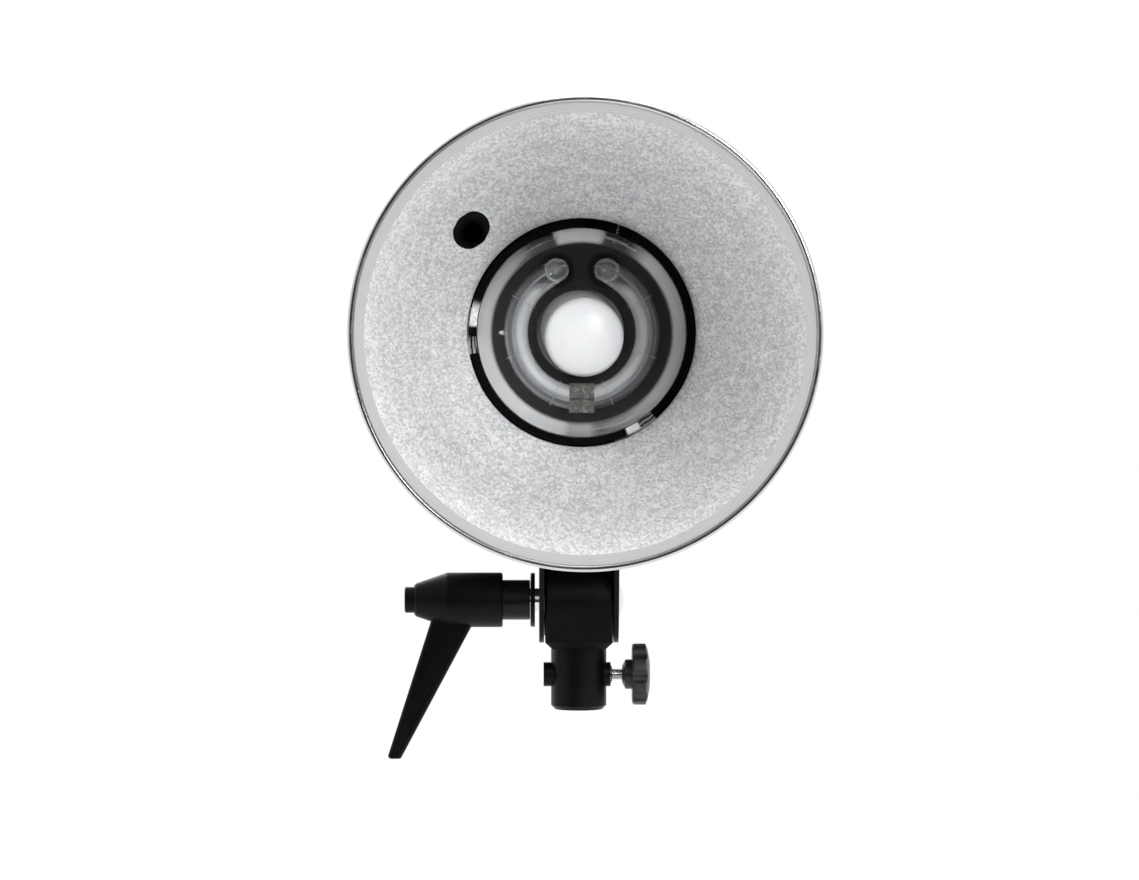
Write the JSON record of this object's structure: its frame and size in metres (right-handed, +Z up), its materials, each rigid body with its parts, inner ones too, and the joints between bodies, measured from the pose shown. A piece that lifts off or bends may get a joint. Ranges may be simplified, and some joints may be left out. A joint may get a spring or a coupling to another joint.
{
  "type": "studio strobe flash",
  "caption": "Studio strobe flash with a round bayonet reflector, ring flash tube, modelling lamp and tilting stand head.",
  "frame": {"origin": "centre of the stand socket's mouth, on its bottom face", "axes": "+Z up along the socket, -Y the way the flash faces, +X to the right as seen from the front"},
  "size_m": [0.18, 0.354, 0.27],
  "materials": {
    "black_casting": "satin black powder coat",
    "black_steel": "blackened steel",
    "black_moulding": "fine textured",
    "housing_paint": "textured black paint",
    "panel_plastic": "fine textured",
    "bright_steel": "satin",
    "chrome": "polished",
    "brass": "turned",
    "fibre": "pressed fibre",
    "reflector_aluminium": "pebbled and anodised",
    "collar_aluminium": "turned",
    "plate_grey": "dark grey enamel",
    "quartz": "clear",
    "dome_glass": "clear",
    "frosted_glass": "frosted white",
    "nickel": "drawn wire",
    "ceramic": "unglazed",
    "carrier_board": "pressed laminate",
    "zinc_sheet": "zinc plated",
    "circuit_laminate": "solder masked",
    "capacitor_sleeve": "shrink sleeve",
    "potting": "cast resin",
    "fan_plastic": "moulded",
    "dial_plastic": "soft touch",
    "button_plastic": "moulded",
    "test_plastic": "moulded",
    "switch_plastic": "moulded",
    "jack_metal": "nickel plated",
    "sensor_lens": "tinted clear",
    "indicator_lens": "tinted clear"
  },
  "bodies": {
    "stand_head": {"stand_socket": "black_casting", "socket_insert": "brass", "friction_washers": "fibre"},
    "clamp_pad": {"clamp_pad": "brass"},
    "clamp_knob": {"clamp_screw": "bright_steel", "clamp_knob": "black_moulding"},
    "flash_head": {"tilt_bracket": "black_casting", "bracket_screws": "black_steel", "pivot_bolt": "chrome", "flange_washer": "black_casting", "housing_upper": "housing_paint", "housing_lower": "housing_paint", "front_casting": "black_casting", "rear_panel": "panel_plastic", "housing_screws": "black_steel", "mount_ring": "black_casting", "umbrella_tube": "bright_steel", "front_plate": "plate_grey", "flash_tube": "quartz", "tube_electrodes": "nickel", "tube_sockets": "ceramic", "tube_clip": "bright_steel", "trigger_wire": "nickel", "modelling_lamp": "frosted_glass", "lamp_base": "nickel", "lamp_socket": "ceramic", "socket_carrier": "carrier_board", "glass_dome": "dome_glass", "chassis_plate": "zinc_sheet", "power_board": "circuit_laminate", "capacitors": "capacitor_sleeve", "trigger_transformer": "potting", "fan_frame": "fan_plastic", "control_board": "circuit_laminate", "mains_inlet": "switch_plastic", "inlet_pins": "nickel", "sync_jack": "jack_metal", "slave_sensor": "sensor_lens", "indicator_lamps": "indicator_lens"},
    "clamp_lever": {"clamp_lever": "black_moulding", "lever_insert": "black_steel", "lever_spring": "bright_steel"},
    "lever_button": {"lever_button": "black_moulding"},
    "reflector": {"reflector_bowl": "reflector_aluminium", "reflector_collar": "collar_aluminium", "collar_rivets": "collar_aluminium", "reflector_lugs": "collar_aluminium"},
    "umbrella_pad": {"umbrella_pad": "brass"},
    "umbrella_knob": {"umbrella_screw": "bright_steel", "umbrella_knob": "black_moulding"},
    "fan_rotor": {"fan_rotor": "fan_plastic"},
    "power_dial": {"power_dial": "dial_plastic"},
    "lamp_dial": {"lamp_dial": "dial_plastic"},
    "test_button": {"test_button": "test_plastic"},
    "sound_button": {"sound_button": "button_plastic"},
    "sensor_button": {"sensor_button": "button_plastic"},
    "lamp_button": {"lamp_button": "button_plastic"},
    "power_switch": {"power_switch": "switch_plastic"},
    "fuse_cap": {"fuse_cap": "switch_plastic"}
  },
  "joints": [
    {"name": "head_tilt", "type": "hinge", "parent": "stand_head", "child": "flash_head", "pos_m": [0, 0, 0.046], "axis": [1, 0, 0], "range_deg": [-90, 90]},
    {"name": "lever_turn", "type": "hinge", "parent": "flash_head", "child": "clamp_lever", "pos_m": [-0.04, 0, 0.046], "axis": [-1, 0, 0], "range_deg": [0, 120]},
    {"name": "lever_button_press", "type": "slide", "parent": "clamp_lever", "child": "lever_button", "axis": [1, 0, 0], "range_m": [0, 0.003], "stiffness_N_per_m": 700, "springref_m": -0.003, "deforming": ["lever_spring"]},
    {"name": "thumb_screw_turn", "type": "hinge", "parent": "clamp_pad", "child": "clamp_knob", "pos_m": [0.026, 0, 0.0146], "axis": [-1, 0, 0], "range_deg": [-720, 1440]},
    {"name": "thumb_screw_travel", "type": "slide", "parent": "stand_head", "child": "clamp_pad", "axis": [-1, 0, 0], "range_m": [-0.0016, 0.0032]},
    {"name": "reflector_twist", "type": "hinge", "parent": "flash_head", "child": "reflector", "pos_m": [0, -0.085, 0.159], "axis": [0, -1, 0], "range_deg": [0, 16]},
    {"name": "umbrella_screw_turn", "type": "hinge", "parent": "umbrella_pad", "child": "umbrella_knob", "pos_m": [-0.068, -0.066, 0.19942], "axis": [1, 0, 0], "range_deg": [-360, 720]},
    {"name": "umbrella_screw_travel", "type": "slide", "parent": "flash_head", "child": "umbrella_pad", "axis": [1, 0, 0], "range_m": [-0.0007, 0.0014]},
    {"name": "fan_spin", "type": "hinge", "parent": "flash_head", "child": "fan_rotor", "pos_m": [0, 0.11, 0.171], "axis": [0, 1, 0], "continuous": true},
    {"name": "power_dial_turn", "type": "hinge", "parent": "flash_head", "child": "power_dial", "pos_m": [-0.027, 0.148, 0.185], "axis": [0, 1, 0], "range_deg": [-140, 140]},
    {"name": "lamp_dial_turn", "type": "hinge", "parent": "flash_head", "child": "lamp_dial", "pos_m": [0.027, 0.148, 0.185], "axis": [0, 1, 0], "range_deg": [-140, 140]},
    {"name": "test_button_press", "type": "slide", "parent": "flash_head", "child": "test_button", "axis": [0, -1, 0], "range_m": [0, 0.0015], "stiffness_N_per_m": 600, "springref_m": -0.0015},
    {"name": "sound_button_press", "type": "slide", "parent": "flash_head", "child": "sound_button", "axis": [0, -1, 0], "range_m": [0, 0.0015], "stiffness_N_per_m": 600, "springref_m": -0.0015},
    {"name": "sensor_button_press", "type": "slide", "parent": "flash_head", "child": "sensor_button", "axis": [0, -1, 0], "range_m": [0, 0.0015], "stiffness_N_per_m": 600, "springref_m": -0.0015},
    {"name": "lamp_button_press", "type": "slide", "parent": "flash_head", "child": "lamp_button", "axis": [0, -1, 0], "range_m": [0, 0.0015], "stiffness_N_per_m": 600, "springref_m": -0.0015},
    {"name": "power_switch_rock", "type": "hinge", "parent": "flash_head", "child": "power_switch", "pos_m": [0.034, 0.1415, 0.126], "axis": [-1, 0, 0], "range_deg": [0, 22]},
    {"name": "fuse_cap_turn", "type": "hinge", "parent": "flash_head", "child": "fuse_cap", "pos_m": [0, 0.146, 0.121], "axis": [0, 1, 0], "range_deg": [0, 90]}
  ],
  "couplings": [
    {"joint": "thumb_screw_turn", "follows": "thumb_screw_travel", "rad_per_m": 7854},
    {"joint": "umbrella_screw_turn", "follows": "umbrella_screw_travel", "rad_per_m": 8976}
  ]
}
